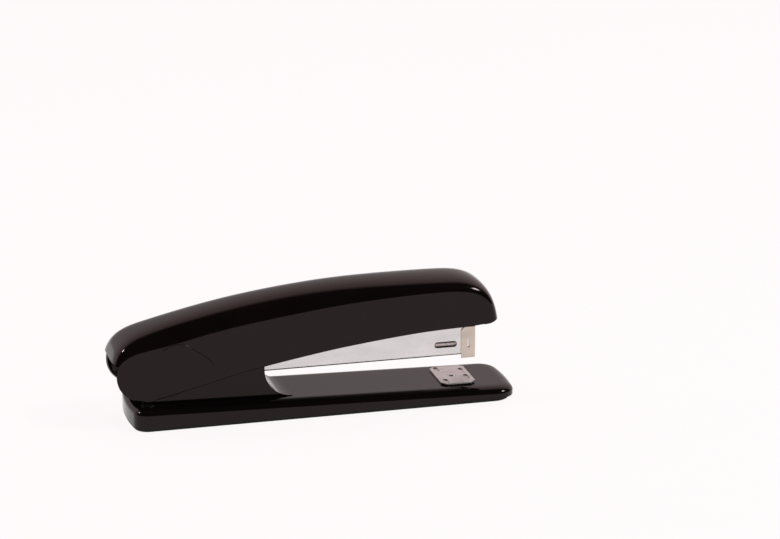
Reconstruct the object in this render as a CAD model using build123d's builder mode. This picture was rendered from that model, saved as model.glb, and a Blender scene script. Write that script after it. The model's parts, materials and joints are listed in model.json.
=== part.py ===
from build123d import *
from math import cos, radians, sin
import os

os.makedirs("parts", exist_ok=True)

# A full-strip desktop stapler, in millimetres.
# +X points to the nose, +Z up. The origin is on the table, under the middle of the stapler.
# Every piece is symmetric about the XZ plane unless its comment says otherwise.

# Driving dimensions
cut_length = 200.0
pivot_x = -83.65
pivot_z = 30.0
pin_radius = 2.0
running_gap = 0.05

# Base
base_rear = -92.3
base_rear_bow = 2.4
base_nose = 104.0
base_nose_bow = 2.0
base_half_width = 22.1
base_rear_corner = 7.5
base_nose_corner = 10.0
base_top_at_origin = 9.4
base_top_slope = 0.025
shoulder_run = 6.2
shoulder_drop = 3.4
sole_thickness = 1.5
sole_inset = 0.5
sole_nose_inset = 2.0
plate_thickness = 1.0
plate_inset = 2.0
cavity_inset = 4.2
skin = 2.4

# Pedestal that carries the hinge at the rear of the base
pedestal_rear = -79.5
pedestal_front = -24.75
pedestal_top = 27.5
pedestal_half_width = 13.6
pedestal_wall = 1.8
pedestal_end_wall = 2.0
pedestal_lip = 12.0
pedestal_front_edge = 3.5
pedestal_back_slope = [(-72.0, 27.5), (-76.0, 17.0), (-79.5, 13.0)]
structure_foot = 6.5
swoop_radius = 14.0
notch_half_width = 8.2
notch_floor = 17.0

# Hinge bracket
bracket_outer = 9.3
bracket_thickness = 1.5
bracket_rear = -77.0
bracket_front = -50.0
bracket_eye = 6.5
bracket_ear = [(-77.0, 12.0), (-89.3, 27.0), (-79.0, 34.5), (-58.0, 14.0)]

# Anvil
anvil_x = 75.35
anvil_length = 17.8
anvil_width = 27.0
anvil_thickness = 0.8
anvil_corner = 2.5
anvil_seat_radius = 7.5
anvil_bottom = 7.9
anvil_top = anvil_bottom + anvil_thickness
groove_depth = 0.55
groove_width = 2.2
clinch_length = 7.6
clinch_grooves = [(anvil_x + 6.1, 4.9), (anvil_x + 6.1, -4.9)]
pinning_length = 6.6
pinning_grooves = [(anvil_x - 5.7, 9.4), (anvil_x - 5.7, -9.4)]
anvil_shank = 1.5
anvil_clearance = 0.06
button_radius = 5.2
button_flange = 6.4
button_gap = 0.3
button_recess = 2.8
sole_hole_margin = 0.8
lower_edge_chamfer = 0.4
button_bottom = 0.5
button_flange_bottom = sole_thickness + plate_thickness
button_flange_top = 3.4
spring_pocket_radius = 4.6
spring_pocket_roof = 6.8

# Magazine
channel_half_width = 7.5
channel_wall = 0.8
channel_bottom = 21.3
channel_top = 36.6
channel_front = 84.0
channel_eye = channel_top - pivot_z
channel_fold = 1.2
floor_rear = -70.0
floor_front = 82.0
floor_top = channel_bottom + channel_wall
channel_inner = channel_half_width - channel_wall
window_x = 69.75
window_z = 27.4
window_length = 11.8
window_height = 3.2
nose_front = 85.3
nose_sheet = 1.2
nose_flange = 0.6
nose_rear = 77.75
nose_bottom = 19.8
nose_top = 36.0
nose_corner = 2.5
nose_mark_length = 4.6
nose_mark_width = 1.3

# Rail, staples and pusher
rail_half_width = 5.6
rail_wall = 0.8
rail_top = 27.8
rail_rear = -44.0
rail_slot_front = 79.0
rail_slot_width = 4.0
rod_radius = 1.2
rod_z = 24.6
staple_half_width = 6.35
staple_wire = 0.5
staple_top = rail_top + 0.05 + staple_wire
staple_leg = 6.0
strip_front = 82.5
strip_rear = 51.5
pusher_front = 51.2
pusher_length = 10.2
pusher_saddle_top = 29.4
pusher_saddle_floor = 28.1
pusher_saddle_foot = 24.0
pusher_neck = 3.2
pusher_slider_height = 4.0

# Cover
cover_half_width = 15.6
cover_wall = 1.6
cover_rear_x = -82.1
cover_rear_z = 30.6
cover_rear_edge = 32.5
lobe_radius = 16.4
nose_foot_x = 96.3
nose_foot_z = 41.4
nose_slope_x = 92.0
nose_slope_z = 53.0
nose_plan_corner = 6.0
crown_overhang = 0.4
boss_radius = 3.0
frame_outer = 10.8
frame_sheet = 1.2
frame_top = 47.2
frame_bottom = frame_top - frame_sheet
frame_front = 82.0
frame_rear = -60.0
frame_eye = 6.2
frame_lower_edge = [(82.0, 42.0), (-40.0, 39.0), (-60.0, 29.0), (-81.0, 24.4), (-87.0, 35.2)]
frame_tab_width = 12.0
frame_tab_drop = 6.1
frame_slots = [(0.0, 0.0), (70.0, 0.0)]
frame_slot_length = 22.0
frame_slot_width = 9.0
blade_half_width = 6.1
blade_thickness = 0.5
blade_tip = 28.5

# Fasteners
screw_radius = 1.3
screw_head = 2.6
rivet_radius = 1.5
small_rivet_radius = 1.0
base_screw_places = [(-81.5, 12.5), (-81.5, -12.5), (50.0, 12.0), (50.0, -12.0)]
base_screw_tip = 6.9
post_radius = 3.2
bracket_rivet_places = [(-67.0, 3.0), (-67.0, -3.0), (-55.0, 5.0), (-55.0, -5.0)]
cover_screw_x = [-50.0, 45.0]
cover_screw_tip = 53.0
cover_boss_tops = [54.8, 63.6]
driver_rivet_places = [(3.5, 43.3), (-3.5, 43.3)]
leaf_rivet_places = [(-38.0, 5.0), (-38.0, -5.0)]
rivet_head = 1.8
bracket_rivet_head = 2.6
bracket_rivet_rise = 0.8
rivet_head_rise = 0.5
driver_rivet_front = 1.6
driver_rivet_rise = 0.4
screw_recess = 1.4
screw_recess_depth = 0.6
pan_head = 2.8
pan_head_rise = 1.4

base_bottom = sole_thickness
plate_top = base_bottom + plate_thickness
cavity_roof_plane = Plane(origin=(0, 0, base_top_at_origin - skin), z_dir=(base_top_slope, 0, 1))


def base_outline(inset, nose_inset=None):
    """The base seen from above, drawn a distance inside its outer edge. Its ends are slightly bowed."""
    side = base_half_width - inset
    rear = base_rear + inset
    nose = base_nose - (inset if nose_inset is None else nose_inset)
    with BuildLine() as outline:
        Line((nose - base_nose_bow, side), (rear + base_rear_bow, side))
        ThreePointArc((rear + base_rear_bow, side), (rear, 0), (rear + base_rear_bow, -side))
        Line((rear + base_rear_bow, -side), (nose - base_nose_bow, -side))
        ThreePointArc((nose - base_nose_bow, -side), (nose, 0), (nose - base_nose_bow, side))
    make_face(outline.edges())
    fillet(vertices().group_by(Axis.X)[0], base_rear_corner - inset)
    fillet(vertices().group_by(Axis.X)[-1], base_nose_corner - inset)


def cross_recess(radius, depth):
    """A cross cut up into a screw's head from the plane that is in use."""
    Box(2 * radius, radius / 2, depth, align=(Align.CENTER, Align.CENTER, Align.MIN), mode=Mode.SUBTRACT)
    Box(radius / 2, 2 * radius, depth, align=(Align.CENTER, Align.CENTER, Align.MIN), mode=Mode.SUBTRACT)


def side_slab(half_width, *outline):
    """A block with the given outline in side view, centred on the XZ plane."""
    with BuildSketch(Plane.XZ) as side:
        with BuildLine():
            Polyline(*outline, close=True)
        make_face()
    extrude(side.sketch, amount=half_width, both=True)


def cross_hole(x, z, radius):
    """A round hole right through the part along Y."""
    with BuildSketch(Plane.XZ) as hole:
        with Locations((x, z)):
            Circle(radius)
    extrude(hole.sketch, amount=2 * base_half_width, both=True, mode=Mode.SUBTRACT)


# ---------------------------------------------------------------- base shell
# The room under the base shell, up to its sloping skin.
with BuildPart() as base_cavity:
    with BuildSketch(Plane.XY.offset(plate_top)):
        base_outline(cavity_inset)
    extrude(amount=base_top_at_origin)
    split(bisect_by=cavity_roof_plane, keep=Keep.BOTTOM)

# The shoulder is elliptical: the block is rounded while stretched in height, then scaled back.
stretch = shoulder_run / shoulder_drop
with BuildPart() as base_block:
    with BuildSketch(Plane.XY.offset(base_bottom * stretch)):
        base_outline(0)
    extrude(amount=2 * base_top_at_origin * stretch)
    split(
        bisect_by=Plane(origin=(0, 0, base_top_at_origin * stretch), z_dir=(base_top_slope * stretch, 0, 1)),
        keep=Keep.BOTTOM,
    )
    fillet(faces().sort_by(Axis.Z)[-1].edges(), shoulder_run)
    scale(by=(1, 1, 1 / stretch))

with BuildPart() as base_shell:
    add(base_block.part)
    # Pedestal with its concave front
    with BuildSketch(Plane.XZ):
        with BuildLine():
            top_line = Polyline(
                (pedestal_front, pedestal_top - pedestal_front_edge),
                (pedestal_front, pedestal_top),
                *pedestal_back_slope,
                (pedestal_rear, structure_foot),
                (pedestal_front + swoop_radius, structure_foot),
                (pedestal_front + swoop_radius, pedestal_top - pedestal_front_edge - swoop_radius),
            )
            RadiusArc(top_line @ 1, top_line @ 0, swoop_radius)
        make_face()
    extrude(amount=pedestal_half_width, both=True)
    # Level seat for the anvil
    with Locations((anvil_x, 0, structure_foot)):
        Cylinder(
            anvil_seat_radius, anvil_bottom - structure_foot,
            align=(Align.CENTER, Align.CENTER, Align.MIN),
        )
    add(base_cavity.part, mode=Mode.SUBTRACT)
    with BuildSketch(Plane.XY.offset(base_bottom)):
        base_outline(plate_inset)
    extrude(amount=plate_thickness, mode=Mode.SUBTRACT)
    # Open inside of the pedestal, and the notch that the magazine swings down through
    with BuildSketch(Plane.XY.offset(plate_top)):
        with Locations(((pedestal_rear + pedestal_front) / 2, 0)):
            Rectangle(
                pedestal_front - pedestal_rear - 2 * pedestal_end_wall,
                2 * (pedestal_half_width - pedestal_wall),
            )
    extrude(amount=pedestal_top, mode=Mode.SUBTRACT)
    with BuildSketch(Plane.YZ.offset(pedestal_front - pedestal_end_wall - 1)):
        with Locations((0, (notch_floor + pedestal_top + 1) / 2)):
            Rectangle(2 * notch_half_width, pedestal_top + 1 - notch_floor)
    extrude(amount=swoop_radius + pedestal_end_wall, mode=Mode.SUBTRACT)
    # The pedestal's rear end is open above a low lip, where the bracket leans back to the pin.
    with Locations((pedestal_rear, 0, pedestal_lip)):
        Box(
            2 * pedestal_end_wall + 1, 2 * (pedestal_half_width - pedestal_wall), pedestal_top,
            align=(Align.CENTER, Align.CENTER, Align.MIN), mode=Mode.SUBTRACT,
        )
    # Screw posts
    for x, y in base_screw_places:
        post_top = base_top_at_origin - base_top_slope * x - skin / 2
        with Locations((x, y, plate_top)):
            Cylinder(post_radius, post_top - plate_top, align=(Align.CENTER, Align.CENTER, Align.MIN))
    for x, y in base_screw_places:
        with Locations((x, y, plate_top)):
            Cylinder(
                screw_radius, base_screw_tip + 0.1 - plate_top,
                align=(Align.CENTER, Align.CENTER, Align.MIN), mode=Mode.SUBTRACT,
            )
    # Anvil shank hole and the pocket for its spring
    with Locations((anvil_x, 0, plate_top)):
        Cylinder(
            spring_pocket_radius, spring_pocket_roof - plate_top,
            align=(Align.CENTER, Align.CENTER, Align.MIN), mode=Mode.SUBTRACT,
        )
        Cylinder(
            anvil_shank + anvil_clearance, anvil_top,
            align=(Align.CENTER, Align.CENTER, Align.MIN), mode=Mode.SUBTRACT,
        )
base_shell.part.label = "base_shell"
export_step(base_shell.part, "parts/base_shell.step")

# ---------------------------------------------------------------- pieces in and under the base
with BuildPart() as base_plate:
    with BuildSketch(Plane.XY.offset(base_bottom)):
        base_outline(plate_inset)
        with Locations((anvil_x, 0)):
            Circle(button_radius + button_gap, mode=Mode.SUBTRACT)
        with Locations(*bracket_rivet_places):
            Circle(rivet_radius, mode=Mode.SUBTRACT)
    extrude(amount=plate_thickness)
    for x, y in base_screw_places:
        with Locations((x, y, base_bottom)):
            Cone(
                screw_head, screw_radius, plate_thickness,
                align=(Align.CENTER, Align.CENTER, Align.MIN), mode=Mode.SUBTRACT,
            )
base_plate.part.label = "base_plate"
export_step(base_plate.part, "parts/base_plate.step")

with BuildPart() as sole_pad:
    with BuildSketch(Plane.XY):
        base_outline(sole_inset, sole_nose_inset)
        with Locations((anvil_x, 0)):
            Circle(button_radius + sole_hole_margin, mode=Mode.SUBTRACT)
    extrude(amount=sole_thickness)
    chamfer(faces().sort_by(Axis.Z)[0].outer_wire().edges(), lower_edge_chamfer)
sole_pad.part.label = "sole_pad"
export_step(sole_pad.part, "parts/sole_pad.step")

with BuildPart() as base_screws:
    for x, y in base_screw_places:
        with Locations((x, y, base_bottom)):
            Cone(
                screw_head, screw_radius, plate_thickness,
                align=(Align.CENTER, Align.CENTER, Align.MIN),
            )
            Cylinder(
                screw_radius, base_screw_tip - base_bottom,
                align=(Align.CENTER, Align.CENTER, Align.MIN),
            )
            cross_recess(screw_recess, screw_recess_depth)
base_screws.part.label = "base_screws"
export_step(base_screws.part, "parts/base_screws.step")

with BuildPart() as hinge_bracket:
    side_slab(
        bracket_outer,
        (bracket_rear, plate_top), *bracket_ear, (bracket_front, plate_top + bracket_thickness),
        (bracket_front, plate_top),
    )
    with BuildSketch(Plane.XZ):
        with Locations((pivot_x, pivot_z)):
            Circle(bracket_eye)
    extrude(amount=bracket_outer, both=True)
    with Locations((0, 0, plate_top + bracket_thickness)):
        Box(
            cut_length, 2 * (bracket_outer - bracket_thickness), 2 * pivot_z,
            align=(Align.CENTER, Align.CENTER, Align.MIN), mode=Mode.SUBTRACT,
        )
    cross_hole(pivot_x, pivot_z, pin_radius)
    with BuildSketch(Plane.XY):
        with Locations(*bracket_rivet_places):
            Circle(rivet_radius)
    extrude(amount=pivot_z / 2, mode=Mode.SUBTRACT)
hinge_bracket.part.label = "hinge_bracket"
export_step(hinge_bracket.part, "parts/hinge_bracket.step")

leaf_thickness = 0.6
leaf_bend_radius = 3.0
lift_rear = -72.0
lift_bend = -62.0
lift_crest = -36.0
lift_tip = -31.0
lift_leaf_half_width = 5.0
lift_foot_z = plate_top + bracket_thickness
with BuildPart() as lift_spring:
    with BuildSketch(Plane.XZ):
        with BuildLine():
            FilletPolyline(
                (lift_rear, lift_foot_z + leaf_thickness / 2),
                (lift_bend, lift_foot_z + leaf_thickness / 2),
                (lift_crest, channel_bottom - 0.5),
                (lift_tip, channel_bottom - 1.6),
                radius=leaf_bend_radius,
            )
        trace(line_width=leaf_thickness)
    extrude(amount=lift_leaf_half_width, both=True)
    with BuildSketch(Plane.XY):
        with Locations(*bracket_rivet_places[:2]):
            Circle(rivet_radius)
    extrude(amount=pivot_z / 2, mode=Mode.SUBTRACT)
lift_spring.part.label = "lift_spring"
export_step(lift_spring.part, "parts/lift_spring.step")

with BuildPart() as bracket_rivets:
    for index, (x, y) in enumerate(bracket_rivet_places):
        seat = lift_foot_z + (leaf_thickness if index < 2 else 0)
        with Locations((x, y, base_bottom)):
            Cylinder(rivet_radius, seat - base_bottom, align=(Align.CENTER, Align.CENTER, Align.MIN))
        with Locations((x, y, seat)):
            Cone(
                bracket_rivet_head, rivet_head, bracket_rivet_rise,
                align=(Align.CENTER, Align.CENTER, Align.MIN),
            )
bracket_rivets.part.label = "bracket_rivets"
export_step(bracket_rivets.part, "parts/bracket_rivets.step")

# The pin has its head on the -Y side and a clip on the +Y side.
pin_end = 11.5
pin_head = 0.6
pin_head_radius = 3.2
clip_radius = 3.4
clip_slot = 2.0
with BuildPart() as hinge_pin:
    with BuildSketch(Plane.XZ.offset(-pin_end)):
        with Locations((pivot_x, pivot_z)):
            Circle(pin_radius)
    extrude(amount=2 * pin_end)
    with BuildSketch(Plane.XZ.offset(pin_end - pin_head)):
        with Locations((pivot_x, pivot_z)):
            Circle(pin_head_radius)
    extrude(amount=pin_head)
hinge_pin.part.label = "hinge_pin"
export_step(hinge_pin.part, "parts/hinge_pin.step")

with BuildPart() as pin_clip:
    with BuildSketch(Plane.XZ.offset(-pin_end)):
        with Locations((pivot_x, pivot_z)):
            Circle(clip_radius)
            Circle(pin_radius, mode=Mode.SUBTRACT)
        with Locations((pivot_x, pivot_z)):
            Rectangle(clip_radius, clip_slot, align=(Align.MIN, Align.CENTER), mode=Mode.SUBTRACT)
    extrude(amount=pin_head)
pin_clip.part.label = "pin_clip"
export_step(pin_clip.part, "parts/pin_clip.step")

# ---------------------------------------------------------------- anvil
with BuildPart() as anvil_plate:
    with BuildSketch(Plane.XY.offset(anvil_bottom)):
        with Locations((anvil_x, 0)):
            Rectangle(anvil_length, anvil_width)
        chamfer(vertices(), anvil_corner)
        with Locations((anvil_x, 0)):
            Circle(anvil_shank, mode=Mode.SUBTRACT)
    extrude(amount=anvil_thickness)
    with BuildSketch(Plane.XY.offset(anvil_top - groove_depth)):
        with Locations(*clinch_grooves):
            SlotOverall(clinch_length, groove_width, rotation=90)
        with Locations(*pinning_grooves):
            SlotOverall(pinning_length, groove_width, rotation=90)
    extrude(amount=groove_depth, mode=Mode.SUBTRACT)
anvil_plate.part.label = "anvil_plate"
export_step(anvil_plate.part, "parts/anvil_plate.step")

rivet_foot = 0.95
rivet_foot_top = 1.4
rivet_foot_radius = 2.4
rivet_dome = 2.3
rivet_dome_rise = 0.4
with BuildPart() as anvil_rivet:
    with Locations((anvil_x, 0, anvil_top)):
        Cylinder(rivet_dome, rivet_dome_rise, align=(Align.CENTER, Align.CENTER, Align.MIN))
    fillet(edges().group_by(Axis.Z)[-1], 0.75 * rivet_dome_rise)
    with Locations((anvil_x, 0, rivet_foot)):
        Cylinder(anvil_shank, anvil_top - rivet_foot, align=(Align.CENTER, Align.CENTER, Align.MIN))
        Cylinder(
            rivet_foot_radius, rivet_foot_top - rivet_foot,
            align=(Align.CENTER, Align.CENTER, Align.MIN),
        )
anvil_rivet.part.label = "anvil_rivet"
export_step(anvil_rivet.part, "parts/anvil_rivet.step")

with BuildPart() as anvil_button:
    with Locations((anvil_x, 0, button_bottom)):
        Cylinder(
            button_radius, button_flange_top - button_bottom,
            align=(Align.CENTER, Align.CENTER, Align.MIN),
        )
    with Locations((anvil_x, 0, button_flange_bottom)):
        Cylinder(
            button_flange, button_flange_top - button_flange_bottom,
            align=(Align.CENTER, Align.CENTER, Align.MIN),
        )
    with Locations((anvil_x, 0, button_bottom)):
        Cylinder(
            anvil_shank + anvil_clearance, anvil_top,
            align=(Align.CENTER, Align.CENTER, Align.MIN), mode=Mode.SUBTRACT,
        )
        Cylinder(
            button_recess, rivet_foot_top + running_gap - button_bottom,
            align=(Align.CENTER, Align.CENTER, Align.MIN), mode=Mode.SUBTRACT,
        )
    chamfer(faces().sort_by(Axis.Z)[0].outer_wire().edges(), lower_edge_chamfer)
anvil_button.part.label = "anvil_button"
export_step(anvil_button.part, "parts/anvil_button.step")


def coil(start, direction, length, pitch, radius, wire):
    """A wire wound round a straight axis; start is a point on that axis."""
    with BuildLine():
        turns = Helix(pitch=pitch, height=length, radius=radius, center=start, direction=direction)
    with BuildSketch(Plane(origin=turns @ 0, z_dir=turns % 0)) as wire_end:
        Circle(wire / 2)
    sweep(wire_end.sketch, path=turns, is_frenet=True)


anvil_wire = 0.35
anvil_spring_length = 2.9
anvil_spring_pitch = 1.2
anvil_spring_radius = 3.6
with BuildPart() as anvil_spring:
    coil(
        (anvil_x, 0, button_flange_top + anvil_wire / 2 + running_gap), (0, 0, 1),
        anvil_spring_length, anvil_spring_pitch, anvil_spring_radius, anvil_wire,
    )
anvil_spring.part.label = "anvil_spring"
export_step(anvil_spring.part, "parts/anvil_spring.step")

# ---------------------------------------------------------------- magazine
block_front = rail_rear
block_rear = rail_rear - 6.0
block_rivet_places = [(rail_rear - 3.0, 4.0), (rail_rear - 3.0, -4.0)]
with BuildPart() as magazine_channel:
    side_slab(
        channel_half_width,
        (channel_front, channel_bottom), (channel_front, channel_top), (pivot_x, channel_top),
        (pivot_x, pivot_z - channel_eye), (-76.0, channel_bottom),
    )
    with BuildSketch(Plane.XZ):
        with Locations((pivot_x, pivot_z)):
            Circle(channel_eye)
    extrude(amount=channel_half_width, both=True)
    fillet(edges().filter_by(Axis.X).group_by(Axis.Z)[0], channel_fold)
    with Locations((0, 0, floor_top)):
        Box(
            cut_length, 2 * channel_inner, pivot_z,
            align=(Align.CENTER, Align.CENTER, Align.MIN), mode=Mode.SUBTRACT,
        )
    with Locations((floor_rear, 0, channel_bottom)):
        Box(
            cut_length, 2 * channel_inner, pivot_z,
            align=(Align.MAX, Align.CENTER, Align.CENTER), mode=Mode.SUBTRACT,
        )
    with Locations((floor_front, 0, channel_bottom)):
        Box(
            cut_length, 2 * channel_inner, pivot_z,
            align=(Align.MIN, Align.CENTER, Align.CENTER), mode=Mode.SUBTRACT,
        )
    cross_hole(pivot_x, pivot_z, pin_radius + running_gap)
    with BuildSketch(Plane.XZ):
        with Locations((window_x, window_z)):
            SlotOverall(window_length, window_height)
    extrude(amount=2 * channel_half_width, both=True, mode=Mode.SUBTRACT)
    with BuildSketch(Plane.XY.offset(channel_bottom - 1)):
        with Locations(*block_rivet_places):
            Circle(small_rivet_radius)
    extrude(amount=channel_wall + 2, mode=Mode.SUBTRACT)
magazine_channel.part.label = "magazine_channel"
export_step(magazine_channel.part, "parts/magazine_channel.step")

with BuildPart() as nose_plate:
    with BuildSketch(Plane.XY.offset(nose_bottom)):
        with Locations(((nose_rear + nose_front) / 2, 0)):
            Rectangle(nose_front - nose_rear, 2 * (channel_half_width + nose_flange))
        fillet(vertices().group_by(Axis.X)[-1], nose_sheet)
        with Locations((nose_front - nose_sheet, 0)):
            Rectangle(
                nose_front, 2 * channel_half_width,
                align=(Align.MAX, Align.CENTER), mode=Mode.SUBTRACT,
            )
    extrude(amount=nose_top - nose_bottom)
    with BuildSketch(Plane.XZ):
        with BuildLine():
            corner = Polyline(
                (nose_rear, nose_top - nose_corner), (nose_rear, nose_top),
                (nose_rear + nose_corner, nose_top),
            )
            RadiusArc(corner @ 0, corner @ 1, nose_corner)
        make_face()
    extrude(amount=2 * channel_half_width, both=True, mode=Mode.SUBTRACT)
    with BuildSketch(Plane.XZ):
        with Locations(((nose_rear + nose_front) / 2, window_z)):
            SlotOverall(nose_mark_length, nose_mark_width, rotation=90)
    extrude(amount=2 * channel_half_width, both=True, mode=Mode.SUBTRACT)
nose_plate.part.label = "nose_plate"
export_step(nose_plate.part, "parts/nose_plate.step")

tab_front = 81.6
with BuildPart() as staple_rail:
    with BuildSketch(Plane.YZ.offset(rail_rear)):
        with Locations((0, (floor_top + rail_top) / 2)):
            Rectangle(2 * rail_half_width, rail_top - floor_top)
        with Locations((0, (floor_top + rail_top) / 2 - rail_wall)):
            Rectangle(2 * (rail_half_width - rail_wall), rail_top - floor_top, mode=Mode.SUBTRACT)
    extrude(amount=floor_front - rail_rear)
    with BuildSketch(Plane.XY.offset(rail_top)):
        with Locations(((rail_rear + rail_slot_width + rail_slot_front) / 2, 0)):
            SlotOverall(rail_slot_front - rail_rear - rail_slot_width, rail_slot_width)
    extrude(amount=-2 * rail_wall, mode=Mode.SUBTRACT)
    with BuildSketch(Plane.YZ.offset(tab_front - rail_wall)):
        with Locations((0, (floor_top + rail_top - rail_wall) / 2)):
            Rectangle(2 * (rail_half_width - rail_wall), rail_top - rail_wall - floor_top)
        with Locations((0, rod_z)):
            Circle(rod_radius, mode=Mode.SUBTRACT)
    extrude(amount=rail_wall)
staple_rail.part.label = "staple_rail"
export_step(staple_rail.part, "parts/staple_rail.step")

rod_rear = block_rear + 1.0
with BuildPart() as guide_rod:
    with BuildSketch(Plane.YZ.offset(rod_rear)):
        with Locations((0, rod_z)):
            Circle(rod_radius)
    extrude(amount=tab_front - rod_rear)
guide_rod.part.label = "guide_rod"
export_step(guide_rod.part, "parts/guide_rod.step")

block_top = 29.0
block_rivet_top = 26.0
with BuildPart() as rod_block:
    with BuildSketch(Plane.YZ.offset(block_rear)):
        with Locations((0, (floor_top + block_top) / 2)):
            Rectangle(2 * (channel_inner - 0.1), block_top - floor_top)
    extrude(amount=block_front - block_rear)
    fillet(edges().filter_by(Axis.Y).group_by(Axis.Z)[-1], 1.0)
    with BuildSketch(Plane.YZ.offset(rod_rear)):
        with Locations((0, rod_z)):
            Circle(rod_radius)
    extrude(amount=block_front - rod_rear, mode=Mode.SUBTRACT)
    with BuildSketch(Plane.XY.offset(floor_top)):
        with Locations(*block_rivet_places):
            Circle(small_rivet_radius)
    extrude(amount=block_rivet_top - floor_top, mode=Mode.SUBTRACT)
rod_block.part.label = "rod_block"
export_step(rod_block.part, "parts/rod_block.step")

with BuildPart() as magazine_rivets:
    for x, y in block_rivet_places:
        with Locations((x, y, channel_bottom)):
            Cylinder(
                small_rivet_radius, block_rivet_top - channel_bottom,
                align=(Align.CENTER, Align.CENTER, Align.MIN),
            )
            Cone(screw_radius, rivet_head, rivet_head_rise, align=(Align.CENTER, Align.CENTER, Align.MAX))
magazine_rivets.part.label = "magazine_rivets"
export_step(magazine_rivets.part, "parts/magazine_rivets.step")

with BuildPart() as staple_strip:
    with BuildSketch(Plane.YZ.offset(strip_rear)):
        with Locations((0, staple_top - staple_leg / 2)):
            Rectangle(2 * staple_half_width, staple_leg)
        fillet(vertices().group_by(Axis.Y)[-1], staple_wire)
        with Locations((0, staple_top - staple_leg / 2 - staple_wire)):
            Rectangle(2 * (staple_half_width - staple_wire), staple_leg, mode=Mode.SUBTRACT)
    extrude(amount=strip_front - strip_rear)
staple_strip.part.label = "staple_strip"
export_step(staple_strip.part, "parts/staple_strip.step")

pusher_rear = pusher_front - pusher_length
with BuildPart() as pusher:
    with BuildSketch(Plane.YZ.offset(pusher_rear)):
        # Saddle over the rail
        with Locations((0, (pusher_saddle_top + pusher_saddle_foot) / 2)):
            Rectangle(2 * (staple_half_width - running_gap), pusher_saddle_top - pusher_saddle_foot)
        with Locations((0, pusher_saddle_floor)):
            Rectangle(
                2 * (rail_half_width + 0.3), 2 * (pusher_saddle_floor - pusher_saddle_foot),
                align=(Align.CENTER, Align.MAX), mode=Mode.SUBTRACT,
            )
        # Neck through the rail's slot, and the slider on the rod
        with Locations((0, (rod_z + pusher_saddle_top) / 2)):
            Rectangle(pusher_neck, pusher_saddle_top - rod_z)
        with Locations((0, rod_z)):
            Rectangle(2 * (rail_half_width - rail_wall - 0.4), pusher_slider_height)
            Circle(rod_radius + 0.06, mode=Mode.SUBTRACT)
    extrude(amount=pusher_length)
pusher.part.label = "pusher"
export_step(pusher.part, "parts/pusher.step")

coil_end_gap = 0.3
pusher_wire = 0.4
pusher_coil_pitch = 3.0
pusher_coil_radius = 1.9
with BuildPart() as pusher_spring:
    coil(
        (rail_rear + coil_end_gap, 0, rod_z), (1, 0, 0),
        pusher_rear - rail_rear - 2 * coil_end_gap, pusher_coil_pitch, pusher_coil_radius, pusher_wire,
    )
pusher_spring.part.label = "pusher_spring"
export_step(pusher_spring.part, "parts/pusher_spring.step")

# ---------------------------------------------------------------- cover
# Stations along the cover: x, height where the flat side ends, height of the crown's ridge.
crown_stations = [
    (cover_rear_x, 36.9, 48.5),
    (-52.0, 45.4, 55.9),
    (-18.0, 51.3, 61.3),
    (14.0, 55.0, 64.0),
    (46.0, 57.0, 64.6),
    (76.0, 56.9, 63.4),
    (97.0, 54.5, 60.6),
]
rear_ridge = crown_stations[0][2] - cover_rear_z
# Stations round the rear end: angle up from the tail, radius where the flat side ends.
rear_stations = [(90, crown_stations[0][1] - cover_rear_z), (60, 8.0), (30, 11.5), (0, 15.0)]
lower_edge_rear = (-79.7, 14.1)
lower_edge = [(-37.6, 24.2), (-12.4, 28.8), (20.2, 33.8), (53.0, 37.2), (86.0, 38.8)]
lower_edge_nose = (93.0, 39.6)
nose_brow = (86.8, 60.0)
nose_crest = (74.0, 64.2)
beyond_rear = -120.0
beyond_top = 80.0


def rear_plane(angle):
    """A plane through the rear end's axis, with its Y pointing out of the cover."""
    lean = radians(angle)
    return Plane(origin=(cover_rear_x, 0, cover_rear_z), x_dir=(0, 1, 0), z_dir=(sin(lean), 0, cos(lean)))


def crown_section(plane, foot, half_width, shoulder, ridge):
    """Cross-section under the crown's arc, a little wider than the cover, which cuts it later."""
    rise = ridge - shoulder
    radius = (half_width**2 + rise**2) / (2 * rise)
    reach = half_width + crown_overhang
    edge = ridge - radius + (radius**2 - reach**2) ** 0.5
    with BuildSketch(plane) as section:
        with BuildLine():
            Polyline((reach, edge), (reach, foot), (-reach, foot), (-reach, edge))
            ThreePointArc((-reach, edge), (0, ridge), (reach, edge))
        make_face()
    return section.sketch


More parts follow.
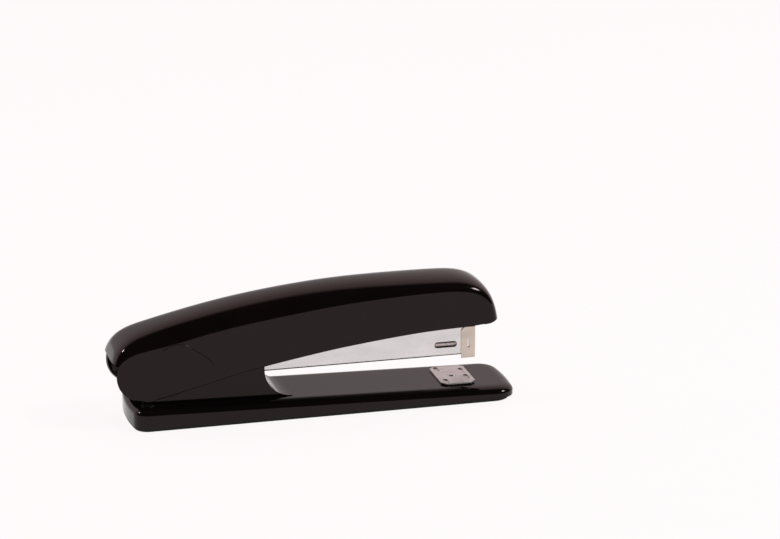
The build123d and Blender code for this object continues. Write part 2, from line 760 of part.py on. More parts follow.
def cover_volume(inset, open_below):
    """The cover's outer form for inset 0, or the room inside its wall."""
    half_width = cover_half_width - inset
    nose_foot = (nose_foot_x - inset, nose_foot_z)
    nose_slope = (nose_slope_x - inset, nose_slope_z)
    with BuildPart() as volume:
        loft([
            crown_section(Plane.YZ.offset(x), 0, half_width, shoulder - inset / 2, ridge - inset)
            for x, shoulder, ridge in crown_stations
        ])
        loft([
            crown_section(rear_plane(angle), 1, half_width, shoulder - inset / 2, rear_ridge - inset)
            for angle, shoulder in rear_stations
        ])
        with BuildSketch(Plane.XZ):
            with BuildLine():
                slope = Line(nose_foot, nose_slope)
                Spline(
                    nose_slope, (nose_brow[0] - inset, nose_brow[1] - inset / 2), nose_crest,
                    tangents=[slope % 1, (-1, 0.05)],
                )
                Polyline(
                    nose_crest, (nose_crest[0], beyond_top), (beyond_rear, beyond_top),
                    (beyond_rear, cover_rear_edge),
                )
                if open_below:
                    Polyline((beyond_rear, cover_rear_edge), (beyond_rear, 0), (nose_foot[0], 0), nose_foot)
                else:
                    Polyline(
                        (beyond_rear, cover_rear_edge), (pivot_x, cover_rear_edge),
                        lower_edge_rear, lower_edge[0],
                    )
                    Spline(*lower_edge, tangents=[(1, 0.235), (1, 0.05)])
                    Polyline(lower_edge[-1], lower_edge_nose, nose_foot)
            make_face()
        extrude(amount=2 * half_width, both=True, mode=Mode.INTERSECT)
        # The nose's corners are round in plan, along its slope.
        with BuildSketch(Plane.XY):
            lean = (nose_foot_x - nose_slope_x) / (nose_slope_z - nose_foot_z)
            with Locations((nose_foot_x - inset + lean * nose_foot_z, 0)):
                Rectangle(2 * cut_length, 2 * half_width, align=(Align.MAX, Align.CENTER))
            fillet(vertices().group_by(Axis.X)[-1], nose_plan_corner - inset / 2)
        extrude(amount=beyond_top, dir=(-lean, 0, 1), mode=Mode.INTERSECT)
    return volume.part


with BuildPart() as cover_shell:
    add(cover_volume(0, False))
    # Round lobes of the cheeks, up to the cover's rear edge
    with BuildSketch(Plane.XZ):
        with Locations((pivot_x, pivot_z)):
            Circle(lobe_radius)
        with Locations((pivot_x, cover_rear_edge)):
            Rectangle(4 * lobe_radius, 2 * lobe_radius, align=(Align.CENTER, Align.MIN), mode=Mode.SUBTRACT)
    extrude(amount=cover_half_width, both=True)
    add(cover_volume(cover_wall, True), mode=Mode.SUBTRACT)
    with Locations((pivot_x, 0, cover_rear_edge)):
        Box(
            3 * lobe_radius, 2 * (cover_half_width - cover_wall), 2 * lobe_radius,
            align=(Align.CENTER, Align.CENTER, Align.MAX), mode=Mode.SUBTRACT,
        )
    for x, boss_top in zip(cover_screw_x, cover_boss_tops):
        with Locations((x, 0, frame_top)):
            Cylinder(boss_radius, boss_top - frame_top, align=(Align.CENTER, Align.CENTER, Align.MIN))
            Cylinder(
                screw_radius, cover_screw_tip + 0.1 - frame_top,
                align=(Align.CENTER, Align.CENTER, Align.MIN), mode=Mode.SUBTRACT,
            )
cover_shell.part.label = "cover_shell"
export_step(cover_shell.part, "parts/cover_shell.step")

with BuildPart() as handle_frame:
    side_slab(
        frame_outer,
        (frame_front, frame_top), *frame_lower_edge, (frame_rear, frame_top),
    )
    with BuildSketch(Plane.XZ):
        with Locations((pivot_x, pivot_z)):
            Circle(frame_eye)
    extrude(amount=frame_outer, both=True)
    with Locations((0, 0, frame_bottom)):
        Box(
            2 * cut_length, 2 * (frame_outer - frame_sheet), 2 * pivot_z,
            align=(Align.CENTER, Align.CENTER, Align.MAX), mode=Mode.SUBTRACT,
        )
    with Locations((frame_rear, 0, frame_bottom)):
        Box(
            cut_length, 2 * (frame_outer - frame_sheet), pivot_z,
            align=(Align.MAX, Align.CENTER, Align.CENTER), mode=Mode.SUBTRACT,
        )
    with BuildSketch(Plane.YZ.offset(frame_front - frame_sheet)):
        with Locations((0, frame_bottom)):
            Rectangle(frame_tab_width, frame_tab_drop, align=(Align.CENTER, Align.MAX))
    extrude(amount=frame_sheet)
    cross_hole(pivot_x, pivot_z, pin_radius + running_gap)
    with BuildSketch(Plane.XY.offset(frame_bottom - 1)):
        with Locations(*[(x, 0) for x in cover_screw_x]):
            Circle(screw_radius)
        with Locations(*leaf_rivet_places):
            Circle(small_rivet_radius)
        with Locations(*frame_slots):
            SlotOverall(frame_slot_length, frame_slot_width)
    extrude(amount=frame_sheet + 2, mode=Mode.SUBTRACT)
    with BuildSketch(Plane.YZ.offset(frame_front - 2 * frame_sheet)):
        with Locations(*driver_rivet_places):
            Circle(small_rivet_radius)
    extrude(amount=3 * frame_sheet, mode=Mode.SUBTRACT)
handle_frame.part.label = "handle_frame"
export_step(handle_frame.part, "parts/handle_frame.step")

blade_lower = 83.1
blade_bend = 38.2
with BuildPart() as driver_blade:
    side_slab(
        blade_half_width,
        (blade_lower, blade_tip), (blade_lower + blade_thickness, blade_tip),
        (blade_lower + blade_thickness, blade_bend), (frame_front + blade_thickness, blade_bend + 2.5),
        (frame_front + blade_thickness, frame_bottom), (frame_front, frame_bottom),
        (frame_front, blade_bend + 2.3), (blade_lower, blade_bend - 0.2),
    )
    with BuildSketch(Plane.YZ.offset(frame_front - 1)):
        with Locations(*driver_rivet_places):
            Circle(small_rivet_radius)
    extrude(amount=3, mode=Mode.SUBTRACT)
driver_blade.part.label = "driver_blade"
export_step(driver_blade.part, "parts/driver_blade.step")

with BuildPart() as driver_rivets:
    with BuildSketch(Plane.YZ.offset(frame_front - frame_sheet)):
        with Locations(*driver_rivet_places):
            Circle(small_rivet_radius)
    extrude(amount=frame_sheet + blade_thickness)
    with BuildSketch(Plane.YZ.offset(frame_front - frame_sheet)):
        with Locations(*driver_rivet_places):
            Circle(rivet_head)
    extrude(amount=-rivet_head_rise)
    with BuildSketch(Plane.YZ.offset(frame_front + blade_thickness)):
        with Locations(*driver_rivet_places):
            Circle(driver_rivet_front)
    extrude(amount=driver_rivet_rise)
driver_rivets.part.label = "driver_rivets"
export_step(driver_rivets.part, "parts/driver_rivets.step")

cover_leaf_rear = -42.0
cover_leaf_bend = -34.0
cover_leaf_crest = 0.0
cover_leaf_tip = 6.0
cover_leaf_half_width = 8.0
with BuildPart() as cover_spring:
    with BuildSketch(Plane.XZ):
        with BuildLine():
            FilletPolyline(
                (cover_leaf_rear, frame_bottom - leaf_thickness / 2),
                (cover_leaf_bend, frame_bottom - leaf_thickness / 2),
                (cover_leaf_crest, channel_top + 0.75),
                (cover_leaf_tip, channel_top + 2.2),
                radius=leaf_bend_radius,
            )
        trace(line_width=leaf_thickness)
    extrude(amount=cover_leaf_half_width, both=True)
    with BuildSketch(Plane.XY.offset(frame_bottom)):
        with Locations(*leaf_rivet_places):
            Circle(small_rivet_radius)
    extrude(amount=-2, mode=Mode.SUBTRACT)
cover_spring.part.label = "cover_spring"
export_step(cover_spring.part, "parts/cover_spring.step")

with BuildPart() as leaf_rivets:
    with BuildSketch(Plane.XY.offset(frame_bottom - leaf_thickness)):
        with Locations(*leaf_rivet_places):
            Circle(small_rivet_radius)
    extrude(amount=frame_sheet + leaf_thickness)
    with BuildSketch(Plane.XY.offset(frame_bottom - leaf_thickness)):
        with Locations(*leaf_rivet_places):
            Circle(rivet_head)
    extrude(amount=-rivet_head_rise)
    with BuildSketch(Plane.XY.offset(frame_top)):
        with Locations(*leaf_rivet_places):
            Circle(rivet_head)
    extrude(amount=rivet_head_rise)
leaf_rivets.part.label = "leaf_rivets"
export_step(leaf_rivets.part, "parts/leaf_rivets.step")

with BuildPart() as cover_screws:
    for x in cover_screw_x:
        with Locations((x, 0, frame_bottom)):
            Cylinder(
                screw_radius, cover_screw_tip - frame_bottom,
                align=(Align.CENTER, Align.CENTER, Align.MIN),
            )
        with Locations((x, 0, frame_bottom - pan_head_rise)):
            Cylinder(pan_head, pan_head_rise, align=(Align.CENTER, Align.CENTER, Align.MIN))
            cross_recess(screw_recess, screw_recess_depth)
cover_screws.part.label = "cover_screws"
export_step(cover_screws.part, "parts/cover_screws.step")
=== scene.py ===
import json
import math

import bmesh
import bpy
import numpy as np
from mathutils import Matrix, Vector
from mathutils.bvhtree import BVHTree


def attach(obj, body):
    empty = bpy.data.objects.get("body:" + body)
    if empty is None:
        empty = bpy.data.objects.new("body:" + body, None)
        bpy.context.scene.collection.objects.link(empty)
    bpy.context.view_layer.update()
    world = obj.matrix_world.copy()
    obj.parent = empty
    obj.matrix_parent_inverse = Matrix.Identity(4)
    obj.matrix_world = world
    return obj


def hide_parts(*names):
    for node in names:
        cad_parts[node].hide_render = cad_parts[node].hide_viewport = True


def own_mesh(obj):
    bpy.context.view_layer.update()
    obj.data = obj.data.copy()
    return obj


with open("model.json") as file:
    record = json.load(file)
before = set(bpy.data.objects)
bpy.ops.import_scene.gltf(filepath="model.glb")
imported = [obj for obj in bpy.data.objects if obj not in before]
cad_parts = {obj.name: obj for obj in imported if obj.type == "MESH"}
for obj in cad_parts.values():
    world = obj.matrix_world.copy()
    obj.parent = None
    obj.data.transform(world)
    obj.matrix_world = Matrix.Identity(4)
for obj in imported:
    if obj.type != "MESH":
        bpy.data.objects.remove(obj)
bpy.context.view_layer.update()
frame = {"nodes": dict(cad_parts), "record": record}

# Looks of a full-strip desktop stapler, built around its CAD frame and in the frame's axes:
# +X to the nose, +Z up, the origin on the table under the middle of the length. The
# stapler's sizes are in millimetres and become metres through MM.

MM = 0.001


# Shader node helpers

noise_low, noise_high = 0.3, 0.7        # most of a noise's values lie between these


def principled(name):
    """A new material, its node tree and its Principled shader."""
    material = bpy.data.materials.new(name)
    material.use_nodes = True
    tree = material.node_tree
    return material, tree, tree.nodes["Principled BSDF"]


def noise(tree, size, stretch=(1.0, 1.0, 1.0), detail=4.0, roughness=0.55):
    """Noise whose features are about size mm wide, drawn out along the axes by stretch."""
    place = tree.nodes.new("ShaderNodeTexCoord")
    mapping = tree.nodes.new("ShaderNodeMapping")
    mapping.inputs["Scale"].default_value = [1.0 / s for s in stretch]
    pattern = tree.nodes.new("ShaderNodeTexNoise")
    pattern.inputs["Scale"].default_value = 1.0 / (size * MM)
    pattern.inputs["Detail"].default_value = detail
    pattern.inputs["Roughness"].default_value = roughness
    tree.links.new(place.outputs["Object"], mapping.inputs["Vector"])
    tree.links.new(mapping.outputs["Vector"], pattern.inputs["Vector"])
    return pattern.outputs["Fac"]


def spread(tree, value, low, high, start=noise_low, end=noise_high):
    """value from start to end, mapped onto low to high."""
    ramp = tree.nodes.new("ShaderNodeMapRange")
    ramp.inputs["From Min"].default_value = start
    ramp.inputs["From Max"].default_value = end
    ramp.inputs["To Min"].default_value = low
    ramp.inputs["To Max"].default_value = high
    tree.links.new(value, ramp.inputs["Value"])
    return ramp.outputs["Result"]


def tones(tree, value, dark, light):
    """A colour from dark to light as a noise's value rises."""
    ramp = tree.nodes.new("ShaderNodeValToRGB")
    ramp.color_ramp.elements[0].position = noise_low
    ramp.color_ramp.elements[0].color = (*dark, 1.0)
    ramp.color_ramp.elements[1].position = noise_high
    ramp.color_ramp.elements[1].color = (*light, 1.0)
    tree.links.new(value, ramp.inputs["Fac"])
    return ramp.outputs["Color"]


def relief(tree, shader, height, depth, strength, below=None):
    """Bump of depth mm from height, on top of another bump's normal where one is given."""
    bump = tree.nodes.new("ShaderNodeBump")
    bump.inputs["Distance"].default_value = depth * MM
    bump.inputs["Strength"].default_value = strength
    tree.links.new(height, bump.inputs["Height"])
    if below is not None:
        tree.links.new(below, bump.inputs["Normal"])
    tree.links.new(bump.outputs["Normal"], shader.inputs["Normal"])
    return bump.outputs["Normal"]


# Materials

def gloss_plastic():
    """Polished black moulding with a faint orange peel and handling marks in its gloss."""
    material, tree, shader = principled("black_gloss")
    shader.inputs["Specular IOR Level"].default_value = 0.24
    shader.inputs["Specular Tint"].default_value = (1.0, 0.82, 0.82, 1.0)
    cloud = noise(tree, size=18.0, detail=3.0)
    smear = noise(tree, size=5.0, stretch=(3.0, 1.0, 1.0), detail=6.0, roughness=0.65)
    peel = noise(tree, size=2.2, detail=1.0)
    grain = noise(tree, size=0.35, detail=2.0)
    colour = tones(tree, cloud, dark=(0.0036, 0.0022, 0.0022), light=(0.0058, 0.0034, 0.0033))
    tree.links.new(colour, shader.inputs["Base Color"])
    tree.links.new(spread(tree, smear, low=0.045, high=0.13), shader.inputs["Roughness"])
    under = relief(tree, shader, peel, depth=0.004, strength=0.35)
    relief(tree, shader, grain, depth=0.001, strength=0.25, below=under)
    return material


def satin_plastic():
    """Satin black moulding, with the fine spark texture of its mould."""
    material, tree, shader = principled("black_satin")
    shader.inputs["Specular IOR Level"].default_value = 0.35
    cloud = noise(tree, size=9.0)
    spark = noise(tree, size=0.45, detail=5.0, roughness=0.7)
    colour = tones(tree, cloud, dark=(0.009, 0.009, 0.009), light=(0.017, 0.016, 0.016))
    tree.links.new(colour, shader.inputs["Base Color"])
    tree.links.new(spread(tree, spark, low=0.34, high=0.52), shader.inputs["Roughness"])
    relief(tree, shader, spark, depth=0.03, strength=0.5)
    return material


def sheet_steel(name, dark, light, gloss, grain, mottle):
    """Rolled sheet steel: streaks along X, a soft mottle and small pits.

    gloss is the roughness from and to; grain and mottle are the widths of the streaks and of the mottle.
    """
    material, tree, shader = principled(name)
    shader.inputs["Metallic"].default_value = 1.0
    streak = noise(tree, grain, stretch=(45.0, 1.0, 1.0), detail=5.0, roughness=0.7)
    cloud = noise(tree, mottle, stretch=(2.5, 1.0, 1.0), detail=3.0)
    pits = noise(tree, size=0.5, detail=3.0, roughness=0.7)
    tree.links.new(tones(tree, cloud, dark, light), shader.inputs["Base Color"])
    tree.links.new(spread(tree, streak, *gloss), shader.inputs["Roughness"])
    under = relief(tree, shader, streak, depth=0.004, strength=0.3)
    relief(tree, shader, pits, depth=0.006, strength=0.3, below=under)
    return material


def plated_steel(name, dark, light, gloss, cloudiness, crystals):
    """Plated steel of small parts: fine crystals in the plating and a slightly uneven gloss.

    gloss is the roughness from and to; cloudiness and crystals are the widths of the two patterns.
    """
    material, tree, shader = principled(name)
    shader.inputs["Metallic"].default_value = 1.0
    cloud = noise(tree, cloudiness, detail=4.0)
    crystal = noise(tree, crystals, detail=3.0, roughness=0.6)
    tree.links.new(tones(tree, cloud, dark, light), shader.inputs["Base Color"])
    tree.links.new(spread(tree, crystal, *gloss), shader.inputs["Roughness"])
    relief(tree, shader, crystal, depth=0.005, strength=0.35)
    return material


def rubber():
    """Matt black rubber with a pebbled skin and rubbed, greyer high spots."""
    material, tree, shader = principled("sole_rubber")
    shader.inputs["Specular IOR Level"].default_value = 0.3
    pebble = noise(tree, size=0.6, detail=4.0)
    cloud = noise(tree, size=12.0)
    colour = tones(tree, cloud, dark=(0.008, 0.008, 0.008), light=(0.02, 0.02, 0.019))
    tree.links.new(colour, shader.inputs["Base Color"])
    tree.links.new(spread(tree, pebble, low=0.65, high=0.9), shader.inputs["Roughness"])
    relief(tree, shader, pebble, depth=0.06, strength=0.6)
    return material


# Rolled steels: the dark and the light tone, the roughness from and to, and the widths of streaks and mottle
rolled = {
    "magazine_steel": ((0.66, 0.635, 0.63), (0.74, 0.715, 0.71), (0.26, 0.32), 0.35, 7.0),
    "nose_steel": ((0.54, 0.46, 0.40), (0.66, 0.57, 0.50), (0.24, 0.36), 0.3, 7.0),
    "anvil_steel": ((0.52, 0.505, 0.50), (0.70, 0.68, 0.67), (0.26, 0.38), 0.4, 3.0),
    "zinc_steel": ((0.42, 0.43, 0.44), (0.56, 0.57, 0.58), (0.28, 0.42), 0.5, 5.0),
}

# Plated steels: the dark and the light tone, the roughness from and to, and the widths of clouds and crystals
plated = {
    "spring_steel": ((0.30, 0.31, 0.33), (0.42, 0.43, 0.45), (0.22, 0.36), 3.6, 0.3),
    "screw_steel": ((0.52, 0.52, 0.53), (0.66, 0.66, 0.67), (0.16, 0.28), 3.6, 0.3),
    "staple_wire": ((0.70, 0.60, 0.58), (0.82, 0.72, 0.70), (0.2, 0.32), 1.8, 0.15),
}

materials = {"black_gloss": gloss_plastic(), "black_satin": satin_plastic()}
materials.update({name: sheet_steel(name, *look) for name, look in rolled.items()})
materials.update({name: plated_steel(name, *look) for name, look in plated.items()})
materials["sole_rubber"] = rubber()

for subpart in frame["record"]["subparts"]:
    mesh = frame["nodes"][subpart["node"]].data
    mesh.materials.clear()
    mesh.materials.append(materials[subpart["material_slot"]])


# Cover: one smooth skin, thickened inwards

cover_half_width = 15.6
cover_wall = 1.6
rows_along = 150
columns_over = 18                       # from the flat side to the ridge
rows_down = 6                           # from the crown's foot to the lower edge
rim_column = 4                          # behind the rear edge, the cheeks end at this column
merge_distance = 0.02                   # points closer than this become one

rounding = 0.75                         # radius of the rounding on the sides' lower edges
rounding_steps = 4
rounding_from, rounding_to = -79.5, 88.0    # the rounded stretch in x
rounding_below = 42.0                   # it lies under this height
rounding_outside = 15.5                 # and outside this distance from the middle
sharp_angle = math.radians(50)          # faces that meet at more than this keep a sharp edge
small_part_sharp_angle = math.radians(40)   # the same, for the screw bosses and the lift leaf

# Places along the cover, from the cheek's lowest point round the tail and over the top to the nose.
# Each has three points in side view, as (x, z): the flat side's upper end, the ridge, and its lower end.
# The last number is how square the section is between the flat side and the ridge: 2 is an ellipse.
cover_places = [
    ((-84.0, 13.6), (-84.0, 13.6), (-84.0, 13.6), 5.0),
    ((-89.6, 16.8), (-93.9, 15.2), (-80.0, 13.8), 5.0),
    ((-93.0, 22.2), (-100.0, 21.0), (-76.0, 14.6), 5.0),
    ((-94.2, 28.0), (-101.0, 29.8), (-71.5, 15.6), 5.0),
    ((-93.0, 31.0), (-100.0, 34.0), (-67.5, 16.6), 4.8),
    ((-89.8, 32.8), (-97.6, 39.0), (-64.0, 17.5), 4.4),
    ((-84.5, 34.0), (-91.8, 44.4), (-60.0, 18.5), 3.6),
    ((-76.0, 36.2), (-82.0, 48.4), (-54.0, 19.9), 2.9),
    ((-52.2, 42.9), (-53.0, 55.5), (-40.0, 23.5), 2.4),
    ((-17.2, 49.8), (-17.5, 61.4), (-12.4, 28.7), 2.1),
    ((14.0, 54.0), (14.0, 64.1), (15.0, 33.0), 2.05),
    ((43.8, 56.5), (45.0, 64.6), (43.0, 36.2), 2.0),
    ((64.4, 57.0), (68.0, 64.1), (62.0, 37.7), 2.1),
    ((75.5, 56.3), (79.6, 62.7), (74.0, 38.2), 2.3),
    ((82.9, 54.4), (87.2, 59.3), (81.0, 38.5), 2.6),
    ((87.8, 50.9), (92.0, 54.1), (85.5, 38.9), 2.9),
    ((90.0, 46.0), (94.6, 48.0), (88.5, 39.2), 3.2),
    ((90.6, 39.4), (96.2, 41.5), (90.6, 39.4), 3.2),
]
rear_edge_place = 4                     # the crown starts at this place; behind it there are only the cheeks


def smooth_line(knots, count):
    """count rows on a natural cubic spline through the knots, and where each knot falls, from 0 to 1.

    The rows are evenly spaced along the flat side's upper end and the ridge, taken together.
    """
    knots = np.array(knots)
    step = np.linalg.norm(np.diff(knots[:, :4], axis=0), axis=1)
    place = np.concatenate([[0.0], np.cumsum(step)])
    size = len(knots)
    system = np.eye(size)
    rise = np.zeros_like(knots)
    for k in range(1, size - 1):
        system[k, k - 1:k + 2] = step[k - 1], 2 * (step[k - 1] + step[k]), step[k]
        rise[k] = 6 * ((knots[k + 1] - knots[k]) / step[k] - (knots[k] - knots[k - 1]) / step[k - 1])
    bend = np.linalg.solve(system, rise)
    rows = []
    for at in np.linspace(0.0, place[-1], count):
        k = min(int(np.searchsorted(place, at, side="right")) - 1, size - 2)
        h, a, b = step[k], place[k + 1] - at, at - place[k]
        rows.append(
            (bend[k] * a**3 + bend[k + 1] * b**3) / (6 * h)
            + (knots[k] / h - bend[k] * h / 6) * a
            + (knots[k + 1] / h - bend[k + 1] * h / 6) * b
        )
    return rows, place / place[-1]


def add_object(name, points, faces, material, body, *replaced):
    """A smooth mesh object from points in millimetres, riding on body and standing for the replaced nodes."""
    mesh = bpy.data.meshes.new(name)
    mesh.from_pydata([[c * MM for c in point] for point in points], [], faces)
    mesh.validate()
    mesh.shade_smooth()
    mesh.materials.append(materials[material])
    piece = bpy.data.objects.new(name, mesh)
    bpy.context.scene.collection.objects.link(piece)
    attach(piece, body)
    if replaced:
        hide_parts(*replaced)
    return piece


def cover_skin():
    """The cover's outer surface as points and faces: flat sides, and a crown rounded between them."""
    knots = [(*shoulder, *ridge, *edge, square) for shoulder, ridge, edge, square in cover_places]
    rows, fractions = smooth_line(knots, rows_along)
    crown_start = round(fractions[rear_edge_place] * (rows_along - 1))
    points = []
    grid = {}

    def point(row, column, x, y, z):
        grid[row, column] = len(points)
        points.append((x, y, z))

    for row, (sx, sz, rx, rz, ex, ez, square) in enumerate(rows):
        for side in (-1, 1):
            for column in range(columns_over + (side < 0)):
                turn = math.pi / 2 * column / columns_over
                out = math.cos(turn) ** (2 / square)
                up = math.sin(turn) ** (2 / square)
                place = side * (columns_over - column)
                point(row, place, sx + (rx - sx) * up, side * cover_half_width * out, sz + (rz - sz) * up)
            for down in range(1, rows_down + 1):
                share = down / rows_down
                place = side * (columns_over + down)
                point(row, place, sx + (ex - sx) * share, side * cover_half_width, sz + (ez - sz) * share)

    faces = []
    reach = columns_over + rows_down
    rim = columns_over - rim_column
    for row in range(rows_along - 1):
        for column in range(-reach, reach):
            if row < crown_start and -rim <= column < rim:
                continue
            faces.append((
                grid[row, column], grid[row, column + 1], grid[row + 1, column + 1], grid[row + 1, column],
            ))
    return points, faces


def round_lower_edges(mesh):
    """Rounds the lower edges of the cover's two sides."""
    shape = bmesh.new()
    shape.from_mesh(mesh)
    lower = [
        edge for edge in shape.edges
        if len(edge.link_faces) == 2 and edge.calc_face_angle() > sharp_angle
        and all(
            abs(v.co.y) > rounding_outside * MM and v.co.z < rounding_below * MM
            and rounding_from * MM < v.co.x < rounding_to * MM
            for v in edge.verts
        )
    ]
    bmesh.ops.bevel(
        shape, geom=lower, offset=rounding * MM, segments=rounding_steps, profile=0.5,
        affect="EDGES", clamp_overlap=False,
    )
    shape.to_mesh(mesh)
    shape.free()


def make_cover():
    """The cover's skin, cleaned of doubled points, thickened inwards, with its lower edges rounded."""
    points, faces = cover_skin()
    cover = add_object("cover_skin", points, faces, "black_gloss", "cover", "cover_shell")
    clean = bmesh.new()
    clean.from_mesh(cover.data)
    bmesh.ops.remove_doubles(clean, verts=clean.verts, dist=merge_distance * MM)
    bmesh.ops.dissolve_degenerate(clean, edges=clean.edges, dist=merge_distance * MM)
    loose = [v for v in clean.verts if not v.link_faces]
    bmesh.ops.delete(clean, geom=loose, context="VERTS")
    bmesh.ops.recalc_face_normals(clean, faces=clean.faces)
    clean.to_mesh(cover.data)
    clean.free()
    wall = cover.modifiers.new("wall", "SOLIDIFY")
    wall.thickness = cover_wall * MM
    wall.offset = -1.0
    wall.use_even_offset = True
    thick = bpy.data.meshes.new_from_object(cover.evaluated_get(bpy.context.evaluated_depsgraph_get()))
    cover.modifiers.clear()
    cover.data = thick
    round_lower_edges(thick)
    thick.shade_smooth()
    thick.set_sharp_from_angle(angle=sharp_angle)
    return cover


cover = make_cover()


# Screw bosses inside the cover

def lathe(profile, x, segments=32):
    """Points and faces of a profile of (radius, z) turned about the vertical line at x."""
    points, faces = [], []
    for radius, z in profile:
        for k in range(segments):
            turn = 2 * math.pi * k / segments
            points.append((x + radius * math.cos(turn), radius * math.sin(turn), z))
    for ring in range(len(profile) - 1):
        for k in range(segments):
            after = (k + 1) % segments
            base = ring * segments
            faces.append((base + k, base + after, base + segments + after, base + segments + k))
    return points, faces


def make_boss(name, x, top):
    """A hollow screw boss under the crown, with both edges of its foot chamfered."""
    foot, bore_end = 47.2, 53.1
    centre, bore, outside = 0.05, 1.3, 3.0      # radii; the discs keep a pinhole at the centre
    chamfer, lead_in = 0.2, 0.3
    profile = [
        (centre, bore_end), (bore, bore_end), (bore, foot + lead_in), (bore + chamfer, foot),
        (outside - chamfer, foot), (outside, foot + chamfer), (outside, top), (centre, top),
    ]
    points, faces = lathe(profile, x)
    boss = add_object(name, points, faces, "black_satin", "cover")
    boss.data.set_sharp_from_angle(angle=small_part_sharp_angle)


make_boss("rear_boss", x=-50.0, top=54.6)
make_boss("front_boss", x=45.0, top=63.2)


# Staples and springs

def wire_mesh(paths, radius, sides=8):
    """Round wires along paths: each path is a list of points, with the section square to it."""
    points, faces = [], []
    for path in paths:
        path = [Vector(place) for place in path]
        across = None
        first = len(points)
        for k, place in enumerate(path):
            along = (path[min(k + 1, len(path) - 1)] - path[max(k - 1, 0)]).normalized()
            if across is None:
                across = along.orthogonal().normalized()
            across = (across - along * across.dot(along)).normalized()
            upright = along.cross(across)
            for side in range(sides):
                turn = 2 * math.pi * side / sides
                points.append(place + radius * (math.cos(turn) * across + math.sin(turn) * upright))
        for k in range(len(path) - 1):
            for side in range(sides):
                after = (side + 1) % sides
                base = first + k * sides
                faces.append((base + side, base + after, base + sides + after, base + sides + side))
        faces.append(tuple(range(first, first + sides))[::-1])
        faces.append(tuple(range(len(points) - sides, len(points))))
    return points, faces


def make_staples():
    """The strip: separate glued staples, each a bent wire."""
    count, front, rear = 60, 82.5, 51.5
    side, top, foot, bend, wire = 6.1, 28.1, 22.35, 0.55, 0.24      # the last two are radii
    pitch = (front - rear) / count
    corner_turns = [math.radians(angle) for angle in (0, 22, 45, 68, 90)]
    corner = [(bend * (1 - math.cos(turn)), bend * math.sin(turn)) for turn in corner_turns]
    half = [(side, foot)] + [(side - inwards, top - bend + rise) for inwards, rise in corner]
    outline = [(-y, z) for y, z in half] + list(reversed(half))
    paths = [[(rear + pitch * (k + 0.5), y, z) for y, z in outline] for k in range(count)]
    points, faces = wire_mesh(paths, wire)
    add_object("staples", points, faces, "staple_wire", "magazine", "staple_strip")


def coil_path(start, axis, length, turns, radius, steps=20):
    """A coil of turns from start along axis, which is "X" or "Z"."""
    path = []
    last = int(turns * steps)
    for k in range(last + 1):
        turn = 2 * math.pi * k / steps
        run, a, b = length * k / last, radius * math.cos(turn), radius * math.sin(turn)
        shift = (run, a, b) if axis == "X" else (a, b, run)
        path.append([s + d for s, d in zip(start, shift)])
    return path


def make_coils():
    """The drive spring on the guide rod and the anvil's return spring, as coils of round wire, each with a
    mesh of its own; the real springs shorten as they work.
    """
    drive_path = coil_path(start=(-43.5, 0.0, 24.6), axis="X", length=84.1, turns=28.0, radius=1.9)
    points, faces = wire_mesh([drive_path], radius=0.2)
    drive = add_object("drive_spring", points, faces, "spring_steel", "magazine", "pusher_spring")
    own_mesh(drive)
    lift_path = coil_path(start=(75.35, 0.0, 3.62), axis="Z", length=2.85, turns=2.4, radius=3.6)
    points, faces = wire_mesh([lift_path], radius=0.175)
    lift = add_object("button_spring", points, faces, "spring_steel", "base", "anvil_spring")
    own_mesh(lift)


def make_lift_leaf():
    """The leaf under the magazine, as one bent strip in side view; the real leaf flattens as the magazine
    goes down.
    """
    half_width, half_thick = 5.0, 0.3
    middle = [                                  # in side view, from the foot up to the tip
        (-72.0, 4.3), (-64.0, 4.3), (-62.2, 4.5), (-60.6, 5.2),
        (-38.4, 19.3), (-36.6, 20.3), (-35.0, 20.5), (-31.0, 19.7),
    ]
    lines = []
    for k, (x, z) in enumerate(middle):
        before, after = Vector(middle[max(k - 1, 0)]), Vector(middle[min(k + 1, len(middle) - 1)])
        along = (after - before).normalized()
        lines.append((Vector((x, z)), Vector((-along.y, along.x)) * half_thick))
    points = []
    for place, out in lines:
        for side, shift in ((-half_width, out), (half_width, out), (half_width, -out), (-half_width, -out)):
            points.append((place.x + shift.x, side, place.y + shift.y))
    faces = [(0, 1, 2, 3), tuple(range(len(points) - 4, len(points)))[::-1]]
    for k in range(len(lines) - 1):
        for c in range(4):
            after = (c + 1) % 4
            faces.append((4 * k + c, 4 * k + 4 + c, 4 * k + 4 + after, 4 * k + after))
    leaf = add_object("lift_leaf", points, faces, "spring_steel", "base", "lift_spring")
    leaf.data.set_sharp_from_angle(angle=small_part_sharp_angle)
    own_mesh(leaf)


# Fine lines on the cheeks

# In side view, from the shoulder round and down
cheek_line = [
    (-76.0, 39.0), (-72.6, 40.6), (-69.0, 41.7), (-65.0, 41.3), (-61.0, 38.9), (-55.5, 35.0),
    (-52.3, 32.6), (-51.0, 30.8), (-51.0, 29.0),
]


def make_cheek_lines():
    """A fine raised line on each cheek, laid on the cover's surface."""
    bead, steps = 0.2, 4                        # its radius, and the points between two places of the line
    clear = 100.0                               # a distance from the middle well outside the cover
    mesh = cover.data
    surface = BVHTree.FromPolygons([v.co for v in mesh.vertices], [f.vertices for f in mesh.polygons])
    paths = []
    for side in (-1, 1):
        path = []
        for k in range(len(cheek_line) - 1):
            start, end = Vector(cheek_line[k]), Vector(cheek_line[k + 1])
            for step in range(steps):
                x, z = start.lerp(end, step / steps)
                outside = Vector((x * MM, side * clear * MM, z * MM))
                hit = surface.ray_cast(outside, Vector((0.0, -side, 0.0)))[0]
                path.append((x, hit.y / MM, z))
        paths.append(path)
    points, faces = wire_mesh(paths, bead)
    add_object("cheek_lines", points, faces, "black_gloss", "cover")


make_staples()
make_coils()
make_lift_leaf()
make_cheek_lines()


# Studio: a pale table, a sky that is bright towards the back and dark overhead, and soft lamps

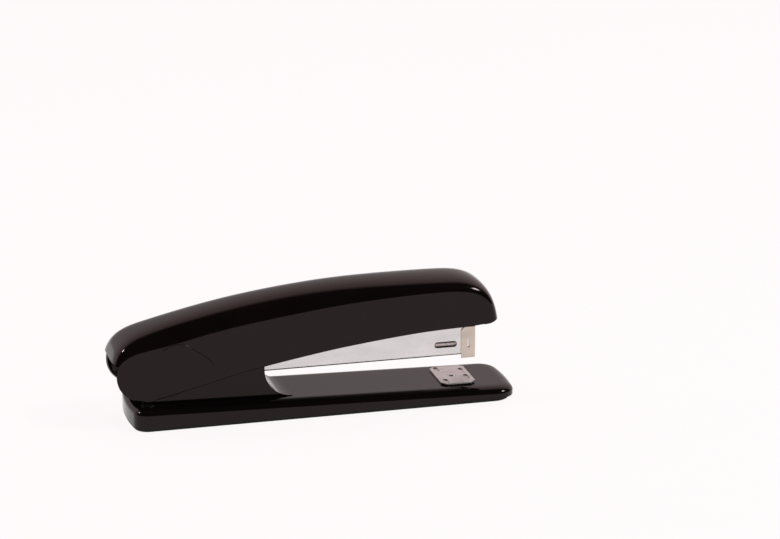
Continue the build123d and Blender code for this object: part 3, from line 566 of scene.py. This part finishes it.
def table_top():
    """The table: a wide pale sheet, evenly bright, with a trace of texture."""
    half_side = 30.0
    mesh = bpy.data.meshes.new("table_top")
    corners = [(x * half_side, y * half_side, 0.0) for x, y in ((-1, -1), (1, -1), (1, 1), (-1, 1))]
    mesh.from_pydata(corners, [], [(0, 1, 2, 3)])
    table = bpy.data.objects.new("table_top", mesh)
    bpy.context.scene.collection.objects.link(table)
    material, tree, shader = principled("pale_table")
    cloud = noise(tree, size=60.0)
    colour = tones(tree, cloud, dark=(0.10, 0.098, 0.098), light=(0.104, 0.1, 0.1))
    tree.links.new(colour, shader.inputs["Base Color"])
    shader.inputs["Roughness"].default_value = 1.0
    shader.inputs["Specular IOR Level"].default_value = 0.0
    shader.inputs["Emission Color"].default_value = (0.99, 0.955, 0.963, 1.0)
    shader.inputs["Emission Strength"].default_value = 0.935
    mesh.materials.append(material)


def sky():
    """Dark in front, overhead and at the sides, brightest at a slant behind, and dimmer straight behind."""
    world = bpy.data.worlds.new("studio")
    world.use_nodes = True
    bpy.context.scene.world = world
    tree = world.node_tree
    tree.nodes.clear()
    place = tree.nodes.new("ShaderNodeTexCoord")
    split = tree.nodes.new("ShaderNodeSeparateXYZ")
    room = tree.nodes.new("ShaderNodeValToRGB")
    background = tree.nodes.new("ShaderNodeBackground")
    output = tree.nodes.new("ShaderNodeOutputWorld")
    dark, bright = (0.03, 0.025, 0.026), (1.0, 0.78, 0.78)
    levels = [                                  # from the front, at 0, to the back, at 1
        (0.0, dark), (0.56, dark), (0.68, bright), (0.82, bright),
        (0.9, (0.78, 0.63, 0.63)), (0.98, (0.48, 0.43, 0.43)),
    ]
    stops = room.color_ramp.elements            # it starts with two, at 0 and 1
    for position, level in levels[2:]:
        stops.new(position)
    for stop, (position, level) in zip(stops, levels):
        stop.position = position
        stop.color = (*level, 1.0)
    background.inputs["Strength"].default_value = 1.15
    turned = spread(tree, split.outputs["Y"], low=0.0, high=1.0, start=-1.0, end=1.0)
    tree.links.new(place.outputs["Generated"], split.inputs["Vector"])
    tree.links.new(turned, room.inputs["Fac"])
    tree.links.new(room.outputs["Color"], background.inputs["Color"])
    tree.links.new(background.outputs["Background"], output.inputs["Surface"])


lamp_aim = Vector((0.0, 0.0, 0.03))


def lamp(name, place, width, height, power):
    """A soft white rectangular lamp at place, turned towards the stapler."""
    data = bpy.data.lights.new(name, "AREA")
    data.shape = "RECTANGLE"
    data.size = width
    data.size_y = height
    data.energy = power
    light = bpy.data.objects.new(name, data)
    bpy.context.scene.collection.objects.link(light)
    light.location = place
    light.rotation_mode = "QUATERNION"
    light.rotation_quaternion = (lamp_aim - Vector(place)).to_track_quat("-Z", "Y")


table_top()
sky()
lamp("right_lamp", (1.3, -0.58, 1.36), width=0.5, height=0.35, power=17.0)
lamp("left_lamp", (-1.5, 0.28, 1.48), width=0.2, height=0.2, power=8.0)


# Camera

camera_place = Vector((-0.3339, -1.4188, 0.5178))
camera_azimuth = math.radians(14.87)
camera_elevation = math.radians(17.08)
camera_lens = 142.2
camera_sensor = 36.0                    # this and the lens in millimetres

camera_data = bpy.data.cameras.new("camera")
camera_data.sensor_width = camera_sensor
camera_data.lens = camera_lens
camera = bpy.data.objects.new("camera", camera_data)
bpy.context.scene.collection.objects.link(camera)
camera.location = camera_place
forward = Vector((
    math.sin(camera_azimuth) * math.cos(camera_elevation),
    math.cos(camera_azimuth) * math.cos(camera_elevation),
    -math.sin(camera_elevation),
))
camera.rotation_mode = "QUATERNION"
camera.rotation_quaternion = forward.to_track_quat("-Z", "Y")
bpy.context.scene.camera = camera
bpy.context.scene.view_settings.view_transform = "Standard"
